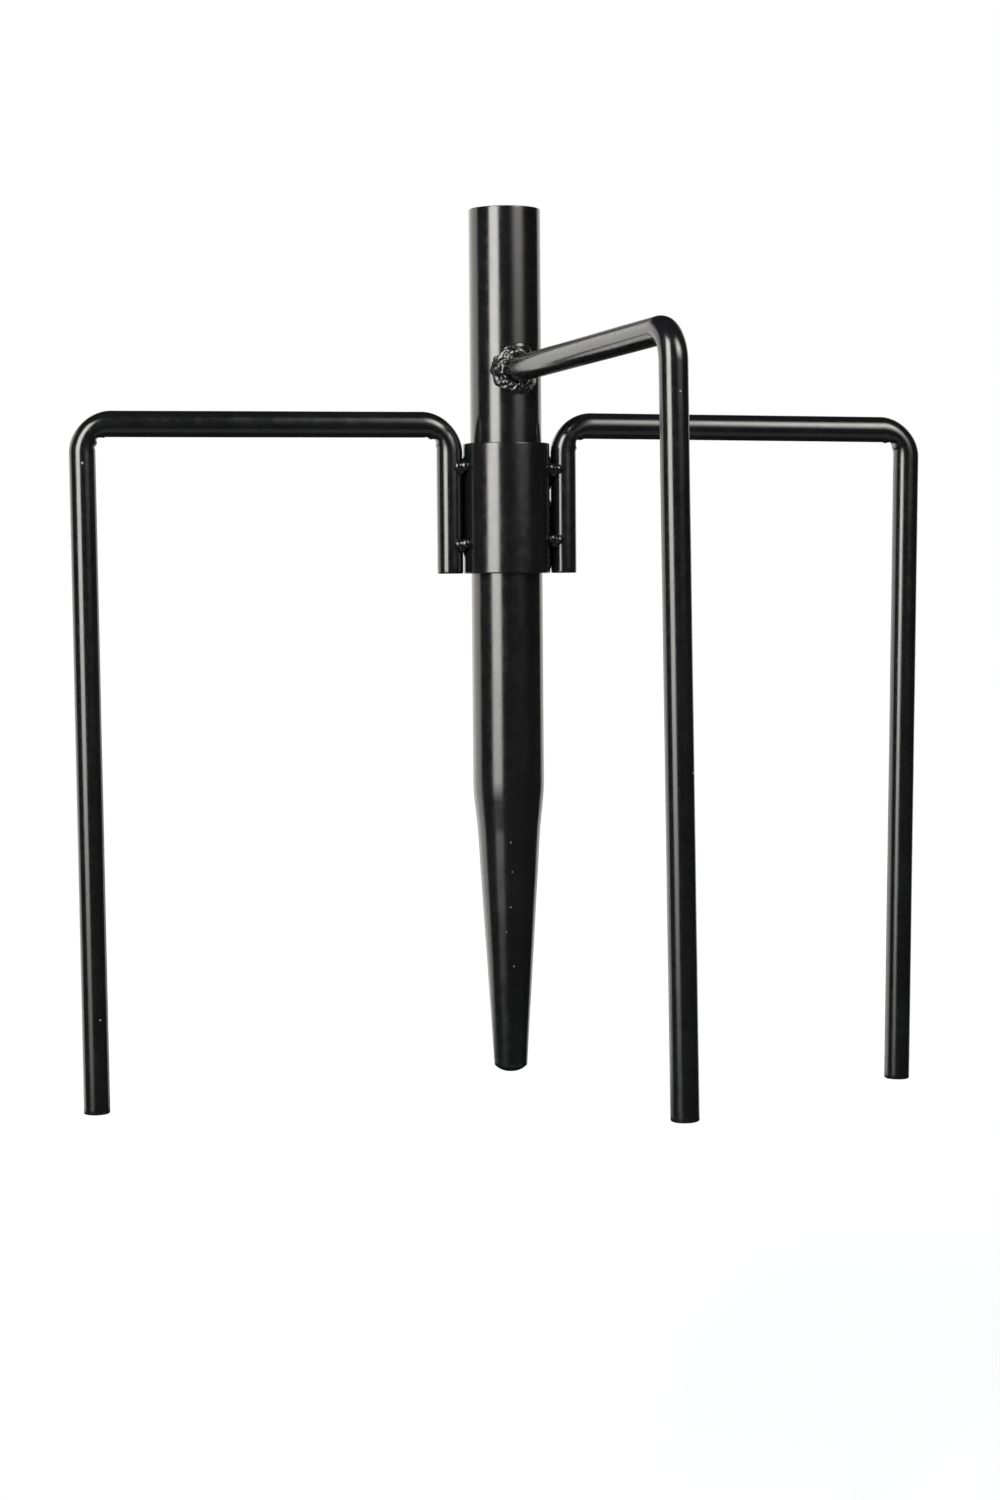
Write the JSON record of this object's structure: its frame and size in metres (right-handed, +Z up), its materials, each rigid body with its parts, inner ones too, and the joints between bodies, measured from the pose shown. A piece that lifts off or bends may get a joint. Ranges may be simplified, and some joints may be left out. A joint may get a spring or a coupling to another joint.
{
  "type": "bird feeding station ground stake",
  "caption": "Spiked steel pole base with a bent-rod prong welded to the pole and bent-rod prongs on a collar that swivels round it, pressed into soil to hold a feeder pole upright.",
  "frame": {"origin": "on the pole's axis at soil level, where the undersides of the collar's arms rest on the ground", "axes": "+Z up along the pole, the collar's prongs along X in the spread position, the welded prong towards -Y"},
  "size_m": [0.2682, 0.1464, 0.2752],
  "materials": {
    "black_powder_coat": "satin black powder coat on mild steel",
    "coated_weld": "powder-coated weld bead, lumpy and a little glossier"
  },
  "bodies": {
    "pole": {"spiked_pole": "black_powder_coat", "spike_tip_plug": "black_powder_coat", "fixed_prong": "black_powder_coat", "fixed_prong_weld": "coated_weld", "upper_stop_bead": "coated_weld", "lower_stop_bead": "coated_weld"},
    "collar": {"swivel_collar": "black_powder_coat", "left_prong": "black_powder_coat", "right_prong": "black_powder_coat", "left_upper_tack": "coated_weld", "left_lower_tack": "coated_weld", "right_upper_tack": "coated_weld", "right_lower_tack": "coated_weld", "left_back_seam": "coated_weld", "right_upper_back_seam": "coated_weld", "right_lower_back_seam": "coated_weld"}
  },
  "joints": [
    {"name": "collar_swivel", "type": "hinge", "parent": "pole", "child": "collar", "pos_m": [0, 0, -0.0218], "axis": [0, 0, 1], "range_deg": [-76, 94]}
  ]
}
